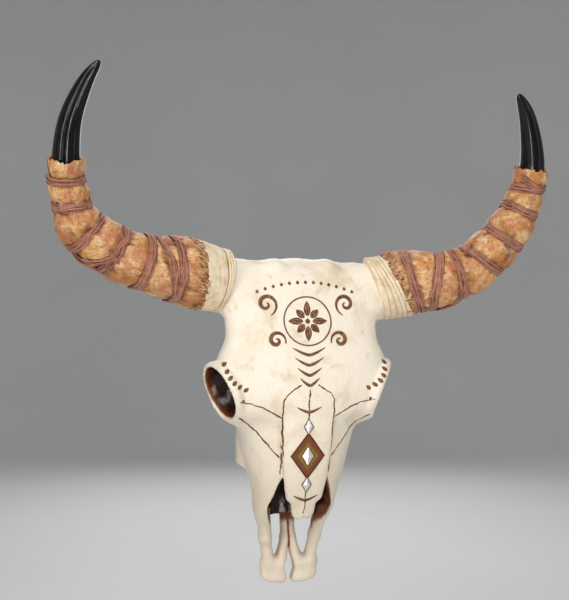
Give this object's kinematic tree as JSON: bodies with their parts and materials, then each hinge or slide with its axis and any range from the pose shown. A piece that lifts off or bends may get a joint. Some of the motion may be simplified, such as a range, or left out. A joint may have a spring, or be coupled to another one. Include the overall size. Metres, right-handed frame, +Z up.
{
  "type": "decorative bull skull wall plaque",
  "caption": "Cast resin bull skull that hangs nose down on a wall, with hide-wrapped, strapped horns, glossy black tips and painted brow and nose ornament.",
  "frame": {"origin": "on the flat back of the skull, in the wall plane and the mid-plane, 8 mm below the hanger's recess", "axes": "+Y into the wall, -Y the way the face looks, +Z up to the poll and the horn tips, +X towards the viewer's right-hand horn"},
  "size_m": [0.4858, 0.1613, 0.4936],
  "materials": {
    "bone_resin": "satin off-white resin with brown washes",
    "twine_resin": "cream, cast as rounds of twine",
    "hide_resin": "mottled tan, cast as rough hide",
    "strap_resin": "purple-brown, cast as twisted straps",
    "horn_gloss": "glossy black",
    "silver": "polished silver colour",
    "hanger_steel": "zinc-plated"
  },
  "bodies": {
    "root": {"skull": "bone_resin", "binding_left": "twine_resin", "binding_right": "twine_resin", "sleeve_left": "hide_resin", "sleeve_right": "hide_resin", "strap_left": "strap_resin", "strap_right": "strap_resin", "tip_left": "horn_gloss", "tip_right": "horn_gloss", "inlay_upper": "silver", "inlay_middle": "silver", "inlay_lower": "silver", "hanger": "hanger_steel", "nail_left": "hanger_steel", "nail_right": "hanger_steel"}
  },
  "joints": []
}
